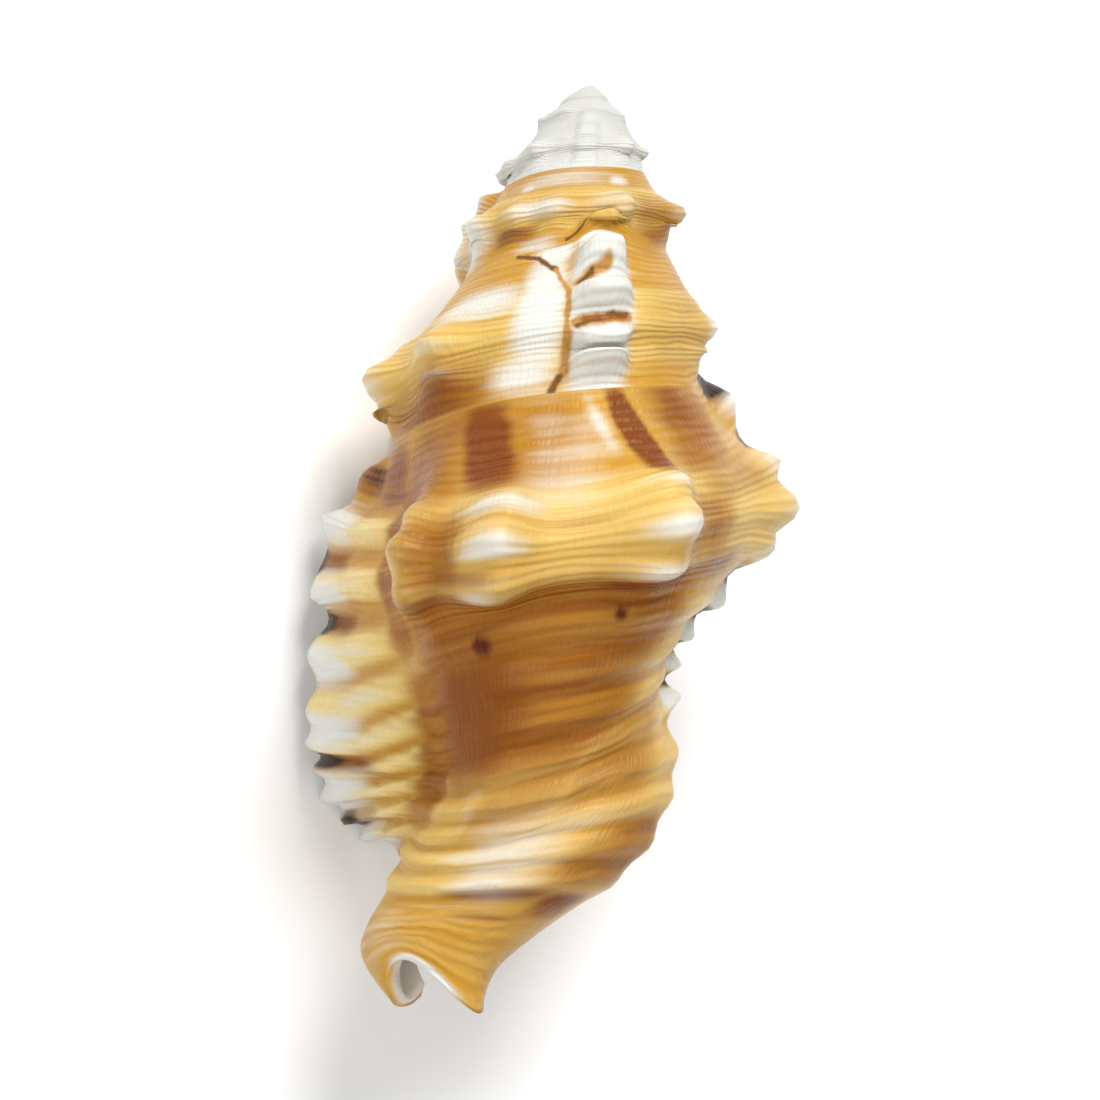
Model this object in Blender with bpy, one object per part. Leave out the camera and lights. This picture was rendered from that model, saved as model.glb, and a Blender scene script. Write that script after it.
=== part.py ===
"""A black-spotted triton shell lying on its mouth, as one hollow solid.

The shell is worked out in its own growth frame in millimetres: the coiling axis is the line r = 0, z runs down from
the apex, and an angle called growth counts degrees along the spiral. It is 0 at the outer lip and negative before it.
A second number, v, runs down the side of a whorl, from 0 at the suture above it to 11 at the end of the canal.
The finished surface is then turned to lie on the floor and scaled to metres.
"""

import math

import bmesh
import bpy
import numpy as np

# Mesh density
STEPS_PER_WHORL = 50
WHORL_ROWS = (0, 0.9, 1.6, 2, 2.5, 3, 3.5, 4, 4.5)
BASE_ROWS = (5, 5.3, 5.65, 6, 6.35, 6.7, 7, 7.3, 7.6, 7.9, 8.15, 8.4, 8.65, 8.9, 9.45, 10, 10.5, 11)
HOLLOW_STEPS = 9
HOLLOW_CAP_STEPS = 2

# How the spiral grows, in millimetres and in whorls counted back from the lip
SUTURE_DROP, SHOULDER_DROP, DROP_GROWTH, APEX_DROP = 54.6, 74.2, 1.723, 2.5
SUTURE_RADIUS, SUTURE_GROWTH = 21.0, 1.46
SHOULDER_RADIUS, RADIUS_GROWTH = 32.4, 1.55
CORD_SPACING = 0.104
FIRST_SUTURE = math.log(APEX_DROP / SUTURE_DROP) / math.log(DROP_GROWTH)
LIP_AZIMUTH, CANAL_LIP_AZIMUTH = 108.0, 150.0

WALL = 2.2
MM = 0.001
LIE_ROLL, LIE_PITCH = -24.307, 1.123
WORN = 0.4


def through(x, knots, values):
    """A smooth curve through the values at the knots, level beyond both ends."""
    knots, values = np.asarray(knots, float), np.asarray(values, float)
    slopes = np.gradient(values, knots, axis=0)
    x = np.clip(np.asarray(x, float), knots[0], knots[-1])
    i = np.clip(np.searchsorted(knots, x, side="right") - 1, 0, len(knots) - 2)
    width = knots[i + 1] - knots[i]
    t = (x - knots[i]) / width
    if values.ndim > 1:
        t, width = t[..., None], width[..., None]
    start, end = values[i], values[i + 1]
    rise = width * slopes[i], width * slopes[i + 1]
    square, cube = t * t, t * t * t
    return (
        start * (2 * cube - 3 * square + 1)
        + end * (3 * square - 2 * cube)
        + rise[0] * (cube - 2 * square + t)
        + rise[1] * (cube - square)
    )


def bump(x, centre, width):
    """A smooth hill of height 1."""
    return np.exp(-(((x - centre) / width) ** 2))


def step(x, low, high):
    """0 below low, 1 above high, smooth between."""
    t = np.clip((x - low) / (high - low), 0, 1)
    return t * t * (3 - 2 * t)


# Varices (old lips) and the tubercles between them, as growth angles
VARICES = ((0, 1.0), (-226, 1.35), (-482, 1.5), (-722, 2.4), (-955, 1.2), (-1190, 1.0), (-1422, 0.6))
TUBERCLES = (
    (-76, 0.85, 9), (-94, 0.9, 9), (-135, 1.0, 11), (-197, 1.05, 12), (-281, 1.2, 14), (-338, 1.3, 14),
    (-376, 1.15, 13), (-420, 0.95, 12), (-550, 0.7, 14), (-600, 0.9, 13), (-652, 0.9, 13),
    (-765, 0.9, 13), (-815, 0.9, 13), (-863, 1.1, 13), (-912, 1.4, 13), (-1000, 1, 13), (-1048, 1, 13),
    (-1096, 1, 13), (-1144, 1, 13), (-1232, 1, 13), (-1280, 1, 13), (-1328, 1, 13), (-1375, 1, 13),
    (-1470, 0.8, 13), (-1520, 0.7, 13), (-1570, 0.6, 13), (-1620, 0.5, 13),
)
CORDS = ((2.0, 0.33), (3.0, 0.36), (4.0, 0.33))
BASE_CORDS = ((5.3, 0.25), (6.0, 0.25), (6.7, 0.25), (7.3, 0.22), (7.9, 0.22), (8.4, 0.2), (8.9, 0.2))
BEADS = ((0.6, 0.4), (2.2, 0.42), (3.5, 0.35), (4.25, 0.35), (5.15, 0.26), (5.85, 0.26), (6.5, 0.26), (7.2, 0.26))
LIP_KNOBS = ((1.0, 0.5), (2.3, 0.5), (3.9, 0.5), (5.4, 0.45), (6.7, 0.42), (7.8, 0.38), (8.7, 0.32))


def taper(g, start):
    """Brings a radius to nothing at the apex as a dome does."""
    return np.sqrt(np.clip((g - start) / 2.2, 0, 1))


def suture_line(growth):
    """Radius and drop of the suture at a growth angle, before the relief."""
    g = growth / 360
    drop = SUTURE_DROP * DROP_GROWTH**g - APEX_DROP
    radius = SUTURE_RADIUS * SUTURE_GROWTH**g * taper(g, FIRST_SUTURE)
    lifted = climb(growth) * (radius + 2)
    return radius, np.maximum(drop, 0) - lifted * step(g, FIRST_SUTURE, FIRST_SUTURE + 1)


def climb(growth):
    """How far the suture climbs at each varix, as a share of its radius."""
    total = 0
    for centre, _ in VARICES:
        behind = growth - centre
        width = np.where(behind < 0, 22.0, 14.0)
        total = total + 0.14 * bump(growth, centre, width)
    return total


def fold(growth):
    """The axial folds that end in tubercles, height 1 at each."""
    total = 0
    for centre, height, width in TUBERCLES:
        total = total + height * bump(growth, centre, width)
    return total


def varix(growth):
    """The old lips, steep on the side that grew last."""
    total = 0
    for centre, height in VARICES:
        total = total + height * np.exp(-((growth - centre) / 11.0) ** 4)
    return total


KEEL_KEYS = (-912, -735, -548, -376, -230, -198, -146, -83, -40, 0)
KEEL_DROPS = (0, 0.5, 1.2, 1.6, 0.6, 0.3, 2.0, 2.5, -1.5, -7.0)
BODY_KEYS = (-560, -460, -360, -280, -198, -108, -75, -45, -20, 0)
BODY_ROWS = np.array((
    ((16.6, 38.0), (9.5, 46.0), (6.3, 57.0), (5.6, 74.0), (5.0, 96.0), (4.3, 110.0), (3.6, 118.0)),
    ((18.6, 44.6), (11.0, 52.0), (7.0, 62.0), (6.0, 78.0), (5.3, 98.0), (4.3, 110.0), (3.6, 118.0)),
    ((21.0, 52.1), (12.5, 58.5), (7.5, 68.0), (6.3, 82.0), (5.5, 100.0), (4.5, 111.0), (3.6, 118.0)),
    ((19.5, 58.0), (14.0, 66.0), (12.0, 75.0), (14.0, 86.0), (10.5, 101.0), (8.2, 112.0), (4.6, 119.0)),
    ((21.5, 63.0), (16.4, 70.5), (15.2, 78.0), (17.6, 88.0), (16.2, 99.5), (10.2, 110.5), (5.6, 119.8)),
    ((24.0, 71.0), (19.5, 79.5), (16.0, 88.0), (13.5, 96.0), (11.6, 103.0), (9.6, 110.0), (7.5, 114.6)),
    ((22.0, 74.5), (17.0, 82.0), (13.5, 90.0), (12.5, 97.0), (11.2, 103.0), (10.0, 111.0), (6.6, 119.0)),
    ((18.5, 76.0), (14.5, 83.0), (12.5, 90.0), (12.5, 96.0), (12.0, 101.5), (10.4, 112.0), (6.0, 120.0)),
    ((22.5, 76.5), (21.0, 82.5), (19.0, 89.0), (17.5, 94.5), (14.0, 100.5), (10.8, 111.5), (5.4, 119.6)),
    ((26.8, 76.0), (26.8, 82.0), (26.2, 88.0), (25.0, 93.6), (20.6, 99.0), (11.0, 110.5), (5.2, 118.6)),
))


def controls(growth, v):
    """Radius and drop of the 12 control points down a whorl's side, before the relief."""
    g = growth / 360
    suture_r, suture_z = suture_line(growth)
    next_r, next_z = suture_line(growth + 360)
    size = SHOULDER_DROP * DROP_GROWTH**g
    keel_r = SHOULDER_RADIUS * RADIUS_GROWTH**g * taper(g, FIRST_SUTURE - 0.9)
    keel_r = keel_r - through(growth, (-100, -70, -45, -20, 0), (0, 3.0, 9.0, 7.6, 4.8))
    keel_z = size - APEX_DROP + through(growth, KEEL_KEYS, KEEL_DROPS)
    gap = CORD_SPACING * size * through(growth, (-376, -198, 0), (1.0, 0.75, 0.68))
    rows = np.zeros(growth.shape + (12, 2))
    rows[..., 0, :] = np.stack((suture_r, suture_z), -1)
    rows[..., 3, :] = np.stack((keel_r, keel_z), -1)
    rows[..., 2, :] = np.stack((keel_r * 0.94, keel_z - gap), -1)
    rows[..., 4, :] = np.stack((keel_r * 0.96, keel_z + gap), -1)
    rows[..., 1, :] = (rows[..., 0, :] + rows[..., 2, :]) / 2
    body = through(growth, BODY_KEYS, BODY_ROWS.reshape(len(BODY_KEYS), 14)).reshape(growth.shape + (7, 2))
    rows[..., 5:, :] = body
    low = np.stack((next_r, next_z), -1)
    rows[..., 5, :] = np.where((growth <= -360)[..., None], low, body[..., 0, :])
    join = np.maximum(step(growth, -420, -360), np.asarray(v) > 5)[..., None]
    for k in range(6, 12):
        straight = rows[..., 5, :] + (rows[..., 5, :] - rows[..., 4, :]) * (k - 5)
        rows[..., k, :] = straight * (1 - join) + rows[..., k, :] * join
    # Above the shoulder of a spire whorl the rows squeeze in between the two sutures
    early = step(-g, 3.2, 5.0)[..., None]
    for k in (1, 2, 3, 4):
        even = rows[..., 0, :] + (low - rows[..., 0, :]) * (k / 5)
        even[..., 0] += 0.12 * even[..., 0] * math.sin(math.pi * k / 5)
        rows[..., k, :] = rows[..., k, :] * (1 - early) + even * early
    return rows


V_KNOTS = np.arange(12.0)


def canal_centre(z):
    """Where the canal's own middle lies, left and towards the back of the shell from the axis."""
    x = -through(z, (86, 100, 105, 110, 114, 117, 120), (0, 2.0, 4.2, 7.4, 9.2, 8.8, 7.4))
    y = -through(z, (92, 104, 112, 120), (0, 0.8, 2.5, 5.0))
    return x, y


def relief(growth, v):
    """Height of folds, cords, knobs and varices over the plain whorl, in millimetres."""
    g = growth / 360
    scale = RADIUS_GROWTH**g * taper(g, FIRST_SUTURE)
    in_spire = growth <= -360
    edge = np.where(in_spire, step(v, 0, 0.7) * step(5 - v, 0, 0.5), step(v, 0, 0.7))
    folds = fold(growth)
    old_lip = varix(growth)
    upper = through(growth, (-400, -300), (0.65, 1.4))
    lower = through(growth, (-400, -300), (2.1, 1.5))
    hill = bump(v, 3.0, np.where(v < 3, upper, lower))
    height = 4.6 * folds * hill
    for at, width in CORDS:
        height = height + bump(v, at, width) * (0.5 + 2.9 * folds * hill)
    for at, width in BASE_CORDS:
        height = height + bump(v, at, width) * 0.9
    beads = sum(bump(v, at, width) for at, width in BEADS)
    knobs = sum(bump(v, at, width) for at, width in LIP_KNOBS)
    near_lip = step(growth, -60, -20)
    proud = (2.0 + 1.8 * beads) * (1 - near_lip) + (2.4 + 2.2 * knobs) * near_lip
    height = height + old_lip * proud * step(v, -0.5, 1.0) * step(9.6 - v, 0, 1.5)
    buttress = sum(height_share * np.exp(-((growth - centre + 360) / 10.0) ** 4) for centre, height_share in VARICES[1:])
    height = height + 3.6 * buttress * step(v, 3.3, 4.0)
    fade = 1 - 0.9 * step(v, 8.9, 9.8)
    return height * scale * edge * fade * (0.35 + 0.65 * step(g, -5.2, -3.6))


def whorl_point(growth, v, depth=0.0, with_relief=1.0):
    """Points (x to the right, y away from the back, z down) on the shell's outside, or depth millimetres inside it."""
    growth, v = np.broadcast_arrays(np.asarray(growth, float), np.asarray(v, float))
    rows = controls(growth, v)
    weights = through(v, V_KNOTS, np.eye(12))
    slopes = through(np.minimum(v + 0.02, 11), V_KNOTS, np.eye(12)) - through(np.maximum(v - 0.02, 0), V_KNOTS, np.eye(12))
    place = np.einsum("...k,...kc->...c", weights, rows)
    along = np.einsum("...k,...kc->...c", slopes, rows)
    length = np.maximum(np.linalg.norm(along, axis=-1, keepdims=True), 1e-6)
    along = along / length
    outward = np.stack((along[..., 1], -along[..., 0]), -1)
    out = relief(growth, v) * with_relief - depth
    place = place + outward * out[..., None]
    r, z = place[..., 0], place[..., 1]
    turn = LIP_AZIMUTH + (CANAL_LIP_AZIMUTH - LIP_AZIMUTH) * step(v, 6.5, 10.5)
    azimuth = np.radians(turn + growth)
    shift_x, shift_y = canal_centre(z)
    shift_x, shift_y = shift_x * step(v, 5, 9), shift_y * step(v, 5, 9)
    return np.stack((shift_x - r * np.sin(azimuth), shift_y - r * np.cos(azimuth), z), -1)


def stitch(first, second):
    """Triangles between two lines of point numbers that run the same way, first on the left."""
    first, second = np.asarray(first), np.asarray(second)
    at = np.concatenate((np.linspace(0, 1, len(first))[1:], np.linspace(0, 1, len(second))[1:]))
    is_first = np.concatenate((np.ones(len(first) - 1, bool), np.zeros(len(second) - 1, bool)))
    order = np.argsort(at + 1e-9 * is_first, kind="stable")
    is_first = is_first[order]
    i = np.cumsum(is_first) - is_first
    j = np.cumsum(~is_first) - ~is_first
    apex = np.where(is_first, first[np.minimum(i + 1, len(first) - 1)], second[np.minimum(j + 1, len(second) - 1)])
    return np.stack((first[i], second[j], apex), -1)


def quads(block):
    """Faces between the neighbours of a grid of point numbers, as triangles."""
    a, b, c, d = block[:-1, :-1], block[1:, :-1], block[1:, 1:], block[:-1, 1:]
    one = np.stack((a, b, c), -1).reshape(-1, 3)
    two = np.stack((a, c, d), -1).reshape(-1, 3)
    return np.concatenate((one, two))


def shell_mesh(n, whorl_rows, base_rows, hollow_steps, cap_steps):
    """Points in the growth frame and triangles of the whole closed shell."""
    whorls = -(FIRST_SUTURE - 1)
    count = int(round(whorls * n))
    growth = -360.0 * (count - np.arange(count + 1)) / n
    points = []
    total = 0

    def add(block):
        nonlocal total
        block = block.reshape(-1, 3)
        numbers = np.arange(total, total + len(block))
        points.append(block)
        total += len(block)
        return numbers

    upper_v, base_v = np.array(whorl_rows, float), np.array(base_rows, float)
    spire = add(whorl_point(growth[:, None], upper_v[None, :])).reshape(count + 1, len(upper_v))
    spire[: n + 1, 0] = spire[0, 0]
    spire[0, :] = spire[0, 0]
    last = np.arange(count - n + 1, count + 1)
    base = add(whorl_point(growth[last][:, None], base_v[None, :])).reshape(n, len(base_v))
    start_low = add(whorl_point(np.array([-360.0])[:, None], base_v[None, 1:]))
    start = np.concatenate(([spire[count, 0]], start_low))
    base = np.concatenate((start[None], base))
    low = np.concatenate((spire[n:, 0], base[1:, 0]))
    ribbon = np.concatenate((spire, low[:, None]), 1)

    # The hollow: in along the outer wall, across its blind end, and back along the columella
    lip_v = np.concatenate((upper_v, base_v))
    lip = np.concatenate((spire[count], base[n]))
    reach = through(lip_v, (0, 5.5, 6.5, 7.5, 8.5, 11), (200, 200, 180, 170, 170, 190))
    inward = np.concatenate(([0.008, 0.03], np.linspace(0.07, 1, hollow_steps - 2)))
    theta = -reach[None, :] * inward[:, None]
    wall = WALL * (1 + 0.5 * step(theta, -40, 0)) * np.sqrt(1 - (1 - np.clip(-theta / 5, 0, 1)) ** 2)
    inner_v = 0.45 + (11 - 0.45) * lip_v / 11
    teeth = sum(bump(inner_v[None, :], at, 0.33) for at, _ in LIP_KNOBS[1:]) * bump(theta, -11, 7) * 1.3
    outer_side = whorl_point(theta, inner_v[None, :], wall + teeth * step(-theta, 0, 6), step(theta, -12, 0) * 0.9)
    columella_v = through(lip_v, (0, 2, 4, 6, 8, 10, 11), (5.2, 5.8, 6.6, 7.7, 8.8, 10.1, 11))
    inner_side = whorl_point(theta[::-1] - 360, columella_v[None, :], -0.3, 0.0)
    share = np.arange(1, cap_steps)[:, None, None] / cap_steps
    cap = outer_side[-1] * (1 - share) + inner_side[0] * share
    hollow = add(np.concatenate((outer_side, cap, inner_side))).reshape(-1, len(lip))
    hollow = np.concatenate((lip[None], hollow))
    half = hollow_steps + 1
    near, far = hollow[:half, 0], hollow[::-1][:half, 0]

    faces = [
        quads(ribbon)[:, ::-1],
        quads(base)[:, ::-1],
        quads(hollow)[:, ::-1],
        stitch(start, hollow[-1]),
        stitch(base[::-1, -1], hollow[:, -1])[:, ::-1],
    ]
    roof_far = hollow[::-1][: len(hollow) // 2 + 1, 0]
    roof_near = hollow[: len(hollow) - len(roof_far) + 1, 0]
    faces.append(stitch(roof_near, roof_far)[:, ::-1])
    faces = np.concatenate(faces)[:, ::-1]
    whole = (faces[:, 0] != faces[:, 1]) & (faces[:, 1] != faces[:, 2]) & (faces[:, 0] != faces[:, 2])
    faces = faces[whole]
    used, faces = np.unique(faces, return_inverse=True)
    return np.concatenate(points)[used], faces.reshape(-1, 3)


def lay_down(points):
    """Turns the growth frame so that the shell lies on its mouth with the spire towards +Y. Metres, floor at Z = 0."""
    x, y, z = points.T
    placed = np.stack((x, -z, -y), -1)
    for (a, b), angle in (((2, 0), LIE_ROLL), ((1, 2), LIE_PITCH)):
        c, s = math.cos(math.radians(angle)), math.sin(math.radians(angle))
        first, second = placed[:, a].copy(), placed[:, b].copy()
        placed[:, a], placed[:, b] = c * first - s * second, s * first + c * second
    low, high = placed.min(0), placed.max(0)
    middle = (low + high) / 2
    placed -= (middle[0], middle[1], low[2] + WORN)
    return placed * MM


def wear(shell):
    """Cuts the small flats that the shell lies on."""
    cut = bmesh.new()
    cut.from_mesh(shell.data)
    everything = cut.verts[:] + cut.edges[:] + cut.faces[:]
    plane = bmesh.ops.bisect_plane(cut, geom=everything, plane_co=(0, 0, 0), plane_no=(0, 0, -1), clear_outer=True)
    rim = [edge for edge in plane["geom_cut"] if isinstance(edge, bmesh.types.BMEdge)]
    bmesh.ops.holes_fill(cut, edges=rim)
    bmesh.ops.triangulate(cut, faces=cut.faces[:])
    cut.to_mesh(shell.data)
    cut.free()


def colour(shell):
    """The orange-brown finish seen from a step away."""
    material = bpy.data.materials.new("shell")
    material.use_nodes = True
    surface = material.node_tree.nodes["Principled BSDF"]
    surface.inputs["Base Color"].default_value = (0.58, 0.33, 0.12, 1)
    surface.inputs["Roughness"].default_value = 0.35
    surface.inputs["Metallic"].default_value = 0
    material.diffuse_color = (0.58, 0.33, 0.12, 1)
    shell.data.materials.append(material)


def main():
    for old in list(bpy.data.objects):
        bpy.data.objects.remove(old)
    points, faces = shell_mesh(STEPS_PER_WHORL, WHORL_ROWS, BASE_ROWS, HOLLOW_STEPS, HOLLOW_CAP_STEPS)
    mesh = bpy.data.meshes.new("conch_shell")
    mesh.from_pydata(lay_down(points).tolist(), [], faces.tolist())
    shell = bpy.data.objects.new("conch_shell", mesh)
    bpy.context.scene.collection.objects.link(shell)
    wear(shell)
    colour(shell)
    return shell


main()
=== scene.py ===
# %% [markdown]
# The conch shell: a black-spotted triton seen from its back. A mollusc grew it as one long tube, wound round
# an axis and widening all the way, so the whole surface can be written as a function of two numbers: how far
# along the spiral a point lies, and how far down the side of the whorl. That is how it is made here, with no
# sculpting. The growth angle counts degrees along the spiral, 0 at the outer lip and negative before it. The
# row number v is 0 at the suture above a whorl, 3 at its shoulder, 5 at the next suture, and 11 at the tip of
# the canal.

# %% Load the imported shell
import math

import bpy
import numpy as np
from mathutils import Matrix, Vector


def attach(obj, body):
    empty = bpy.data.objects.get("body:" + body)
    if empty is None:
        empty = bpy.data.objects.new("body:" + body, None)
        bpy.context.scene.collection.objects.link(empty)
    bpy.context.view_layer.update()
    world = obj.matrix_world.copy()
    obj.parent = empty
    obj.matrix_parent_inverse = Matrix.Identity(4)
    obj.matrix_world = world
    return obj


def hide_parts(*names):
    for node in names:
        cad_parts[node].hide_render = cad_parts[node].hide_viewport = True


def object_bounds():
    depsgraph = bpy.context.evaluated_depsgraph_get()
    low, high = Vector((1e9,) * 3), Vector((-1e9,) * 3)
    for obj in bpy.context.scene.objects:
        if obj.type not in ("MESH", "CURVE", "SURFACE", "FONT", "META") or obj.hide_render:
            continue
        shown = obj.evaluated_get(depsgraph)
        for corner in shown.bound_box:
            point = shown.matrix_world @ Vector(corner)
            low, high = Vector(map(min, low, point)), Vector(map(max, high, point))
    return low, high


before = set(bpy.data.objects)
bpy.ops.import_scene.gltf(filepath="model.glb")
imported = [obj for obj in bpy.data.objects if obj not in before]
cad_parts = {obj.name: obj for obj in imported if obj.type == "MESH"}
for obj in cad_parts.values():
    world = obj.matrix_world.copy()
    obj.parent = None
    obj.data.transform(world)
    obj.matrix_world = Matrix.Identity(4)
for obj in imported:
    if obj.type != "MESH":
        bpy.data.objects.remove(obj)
CAD_BOX = [list(corner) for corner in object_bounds()]
print("CAD box in millimetres:", [[round(1000 * value, 1) for value in corner] for corner in CAD_BOX])

# %% [markdown]
# Three small functions do nearly all the shaping. A curve through a few given values gives every slow
# change, a bell gives every knob, and a smooth step starts or ends a feature. Adding such pieces keeps each
# feature of the shell readable and movable on its own, which a sculpted mesh would not.

# %% Curves, bells and steps
def through(x, knots, values):
    """A smooth curve through the values at the knots: cubics with mean slopes, level beyond both ends."""
    knots, values = np.asarray(knots, float), np.asarray(values, float)
    slopes = np.gradient(values, knots, axis=0)
    x = np.clip(np.asarray(x, float), knots[0], knots[-1])
    i = np.clip(np.searchsorted(knots, x, side="right") - 1, 0, len(knots) - 2)
    width = knots[i + 1] - knots[i]
    t = (x - knots[i]) / width
    if values.ndim > 1:
        t, width = t[..., None], width[..., None]
    square, cube = t * t, t * t * t
    return (
        values[i] * (2 * cube - 3 * square + 1)
        + values[i + 1] * (3 * square - 2 * cube)
        + width * slopes[i] * (cube - 2 * square + t)
        + width * slopes[i + 1] * (cube - square)
    )


def bump(x, centre, width):
    """A bell of height 1: e to the power of minus the squared distance over the width."""
    return np.exp(-(((x - centre) / width) ** 2))


def plateau(x, centre, width):
    """A flat-topped bell of height 1, from the fourth power of the distance."""
    return np.exp(-(((x - centre) / width) ** 4))


def step(x, low, high):
    """0 below low, 1 above high, with the cubic 3t^2 - 2t^3 between."""
    t = np.clip((x - low) / (high - low), 0, 1)
    return t * t * (3 - 2 * t)


print("bell half way out:", round(float(bump(0.5, 0, 1)), 3))

# %% [markdown]
# A shell keeps its proportions as it grows, so each turn of the spiral multiplies its size by the same
# factor. The suture, the seam between two whorls, follows this rule, and so does the shoulder keel. Near each
# varix, an old lip where growth paused, the suture climbs a little onto the whorl above, as it does on the
# real shell.

# %% The growing spiral
SUTURE_DROP, SHOULDER_DROP, DROP_GROWTH, APEX_DROP = 54.6, 74.2, 1.723, 2.5
SUTURE_RADIUS, SUTURE_GROWTH = 21.0, 1.46
SHOULDER_RADIUS, RADIUS_GROWTH = 32.4, 1.55
CORD_SPACING = 0.104
FIRST_SUTURE = math.log(APEX_DROP / SUTURE_DROP) / math.log(DROP_GROWTH)
LIP_AZIMUTH, CANAL_LIP_AZIMUTH = 108.0, 150.0
SUTURE_CLIMB = 0.14
DOME_TURNS = 2.2

# Old lips and tubercles along the spiral: growth angle and height, and for tubercles the width in degrees.
# The side lip shows at the right of the picture and the front lip is the white one.
SIDE_LIP, FRONT_LIP = -211, -481
VARICES = (
    (0, 1.0), (SIDE_LIP, 1.45), (FRONT_LIP, 1.6), (-722, 2.4), (-955, 1.2), (-1190, 1.0), (-1422, 0.6),
)
VARIX_HALF_WIDTH = 11.0
TUBERCLES = (
    (-72, 0.65, 7), (-97, 0.85, 9), (-138, 1.15, 10), (-199, 1.05, 12), (-281, 1.2, 14), (-338, 1.3, 14),
    (-376, 1.15, 13), (-420, 0.95, 12), (-550, 0.7, 14), (-600, 0.9, 13), (-652, 0.9, 13),
    (-765, 0.9, 13), (-790, 0.6, 9), (-815, 0.5, 9), (-855, 1.0, 11), (-912, 1.4, 13),
    (-1000, 1, 13), (-1048, 1, 13), (-1096, 1, 13), (-1144, 1, 13), (-1232, 1, 13), (-1280, 1, 13),
    (-1328, 1, 13), (-1375, 1, 13), (-1470, 0.8, 13), (-1520, 0.7, 13), (-1570, 0.6, 13), (-1620, 0.5, 13),
)


def taper(g, start):
    """Brings a radius to nothing at the apex as a dome does: the square root of the distance from the start."""
    return np.sqrt(np.clip((g - start) / DOME_TURNS, 0, 1))


def climb(growth):
    """How far the suture climbs at each varix, as a share of its radius: a bell, gentler on the older side."""
    total = 0
    for centre, _ in VARICES:
        total = total + SUTURE_CLIMB * bump(growth, centre, np.where(growth < centre, 22.0, 14.0))
    return total


def suture_line(growth):
    """Radius and drop of the suture: each is its last size times a growth factor per whorl, less the climb."""
    g = growth / 360
    drop = SUTURE_DROP * DROP_GROWTH**g - APEX_DROP
    radius = SUTURE_RADIUS * SUTURE_GROWTH**g * taper(g, FIRST_SUTURE)
    lifted = climb(growth) * (radius + 2)
    return radius, np.maximum(drop, 0) - lifted * step(g, FIRST_SUTURE, FIRST_SUTURE + 1)


print("whorls from the apex to the lip:", round(-FIRST_SUTURE, 2))

# %% [markdown]
# Down the side of a whorl run twelve control points. The first five hang on the suture and the keel. The
# other seven shape the base and the canal and were read from the photo, so they are kept as a small table of
# radius and drop at ten growth angles. One smooth curve through the twelve gives the whole profile at any
# growth angle.

# %% The whorl's profile
KEEL_KEYS = (-912, -735, -548, -376, -230, -198, -146, -83, -40, 0)
KEEL_DROPS = (0, 0.5, 1.2, 1.6, 0.6, 0.3, 2.0, 2.5, -1.5, -7.0)
BODY_KEYS = (-560, -460, -360, -280, -198, -108, -75, -45, -20, 0)
BODY_ROWS = np.array((
    ((16.6, 38.0), (9.5, 46.0), (6.3, 57.0), (5.6, 74.0), (5.0, 96.0), (4.3, 107.0), (3.4, 111.5)),
    ((18.6, 44.6), (11.0, 52.0), (7.0, 62.0), (6.0, 78.0), (5.3, 98.0), (4.3, 107.5), (3.4, 112.0)),
    ((21.0, 52.1), (12.5, 58.5), (7.5, 68.0), (6.3, 82.0), (5.5, 100.0), (4.5, 109.5), (3.6, 113.5)),
    ((19.5, 58.0), (14.0, 66.0), (12.0, 75.0), (14.0, 86.0), (10.5, 101.0), (8.2, 111.0), (4.8, 116.0)),
    ((21.5, 63.0), (16.4, 70.5), (15.2, 78.0), (17.6, 88.0), (16.2, 99.5), (10.2, 110.5), (5.6, 119.8)),
    ((24.0, 71.0), (19.5, 79.5), (16.0, 88.0), (13.5, 96.0), (11.6, 103.0), (9.6, 110.0), (7.5, 114.6)),
    ((22.0, 74.5), (17.0, 82.0), (13.5, 90.0), (12.5, 97.0), (11.2, 103.0), (10.0, 111.0), (6.6, 119.0)),
    ((18.5, 76.0), (14.5, 83.0), (12.5, 90.0), (12.5, 96.0), (12.0, 101.5), (10.4, 112.0), (6.0, 120.0)),
    ((22.5, 76.5), (21.0, 82.5), (19.0, 89.0), (17.5, 94.5), (14.0, 100.5), (10.8, 111.5), (5.4, 119.6)),
    ((26.8, 76.0), (26.8, 82.0), (26.2, 88.0), (25.0, 93.6), (20.6, 99.0), (11.0, 110.5), (5.2, 118.6)),
))
V_KNOTS = np.arange(12.0)
CANAL_TIP = V_KNOTS[-1]


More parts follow.
